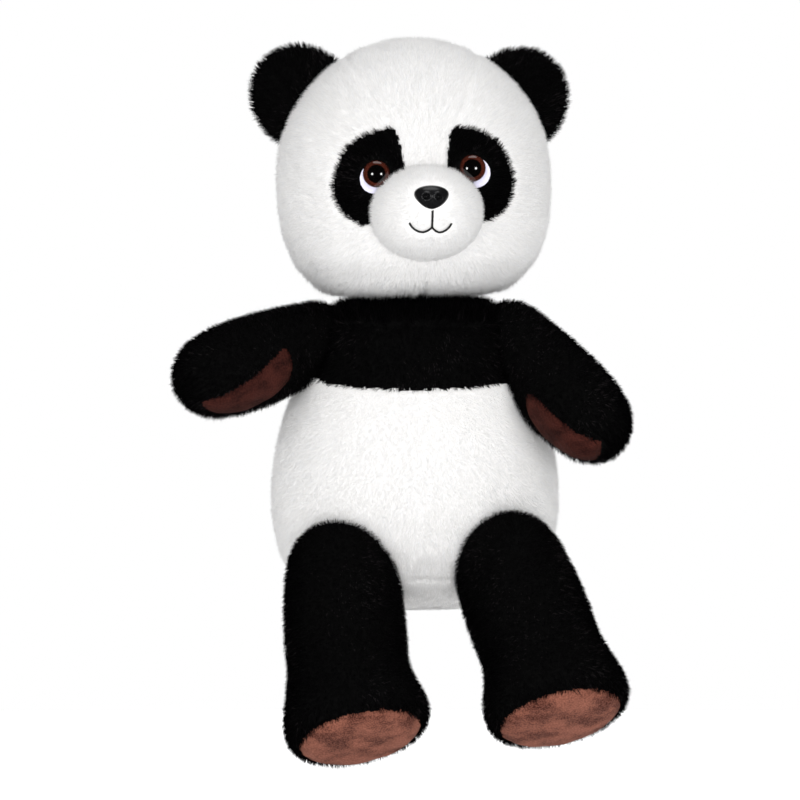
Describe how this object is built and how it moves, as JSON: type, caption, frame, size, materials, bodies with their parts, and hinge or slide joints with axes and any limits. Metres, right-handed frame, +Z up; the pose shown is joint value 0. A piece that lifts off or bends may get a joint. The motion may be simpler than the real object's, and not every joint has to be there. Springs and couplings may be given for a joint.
{
  "type": "plush toy panda",
  "caption": "Sewn and stuffed plush bear in black and white, with plastic eyes and nose, felt and velour trim, soft jointed head and limbs.",
  "frame": {"origin": "centre of the flat seat under the body, between the legs", "axes": "+Z up along the body, the face looks towards -Y, and +X is the panda's own left"},
  "size_m": [0.2514, 0.1938, 0.3984],
  "materials": {
    "white_plush": "matte",
    "black_plush": "matte",
    "brown_velour": "matte",
    "white_felt": "matte",
    "eye_plastic": "gloss",
    "nose_plastic": "satin",
    "washer_plastic": "satin",
    "black_thread": "satin",
    "white_thread": "satin",
    "fibre_fill": "matte",
    "pellet_cloth": "matte"
  },
  "bodies": {
    "torso": {"chest_yoke": "black_plush", "shoulder_yoke": "black_plush", "belly_panel": "white_plush", "back_panel_left": "white_plush", "back_panel_right": "white_plush", "seat_panel": "white_plush", "body_stuffing": "fibre_fill", "pellet_bag": "pellet_cloth", "closing_stitch": "white_thread"},
    "neck": {"neck_cover": "black_plush", "neck_stuffing": "fibre_fill"},
    "head": {"forehead_gusset": "white_plush", "face_side_left": "white_plush", "face_side_right": "white_plush", "head_back": "white_plush", "muzzle_cover": "white_plush", "eye_patch_left": "black_plush", "eye_patch_right": "black_plush", "ear_front_left": "black_plush", "ear_back_left": "black_plush", "ear_front_right": "black_plush", "ear_back_right": "black_plush", "eye_left": "eye_plastic", "eye_right": "eye_plastic", "eye_white_left": "white_felt", "eye_white_right": "white_felt", "eye_washer_left": "washer_plastic", "eye_washer_right": "washer_plastic", "nose": "nose_plastic", "nose_washer": "washer_plastic", "mouth_stitching": "black_thread", "head_stuffing": "fibre_fill"},
    "arm_left": {"arm_cover_left": "black_plush", "paw_pad_left": "brown_velour", "arm_stuffing_left": "fibre_fill"},
    "arm_right": {"arm_cover_right": "black_plush", "paw_pad_right": "brown_velour", "arm_stuffing_right": "fibre_fill"},
    "leg_left": {"leg_cover_left": "black_plush", "sole_pad_left": "brown_velour", "leg_stuffing_left": "fibre_fill"},
    "leg_right": {"leg_cover_right": "black_plush", "sole_pad_right": "brown_velour", "leg_stuffing_right": "fibre_fill"}
  },
  "joints": [
    {"name": "neck_turn", "type": "hinge", "parent": "torso", "child": "neck", "pos_m": [-0.001, 0, 0.17], "axis": [0, 0, 1], "range_deg": [-35, 35], "stiffness_Nm_per_rad": 0.6},
    {"name": "head_nod", "type": "hinge", "parent": "neck", "child": "head", "pos_m": [-0.001, 0, 0.17], "axis": [1, 0, 0], "range_deg": [-11, 11], "stiffness_Nm_per_rad": 2.5},
    {"name": "shoulder_left", "type": "hinge", "parent": "torso", "child": "arm_left", "pos_m": [0.053, -0.006, 0.148], "axis": [0, -1, 0], "range_deg": [-15, 60], "stiffness_Nm_per_rad": 0.6},
    {"name": "shoulder_right", "type": "hinge", "parent": "torso", "child": "arm_right", "pos_m": [-0.055, -0.006, 0.1475], "axis": [0, 1, 0], "range_deg": [-35, 40], "stiffness_Nm_per_rad": 0.6},
    {"name": "hip_left", "type": "hinge", "parent": "torso", "child": "leg_left", "pos_m": [0.0515, -0.046, 0.0235], "axis": [-1, 0, 0], "range_deg": [-15, 60], "stiffness_Nm_per_rad": 1.2},
    {"name": "hip_right", "type": "hinge", "parent": "torso", "child": "leg_right", "pos_m": [-0.0405, -0.046, 0.019], "axis": [-1, 0, 0], "range_deg": [-15, 60], "stiffness_Nm_per_rad": 1.2}
  ]
}
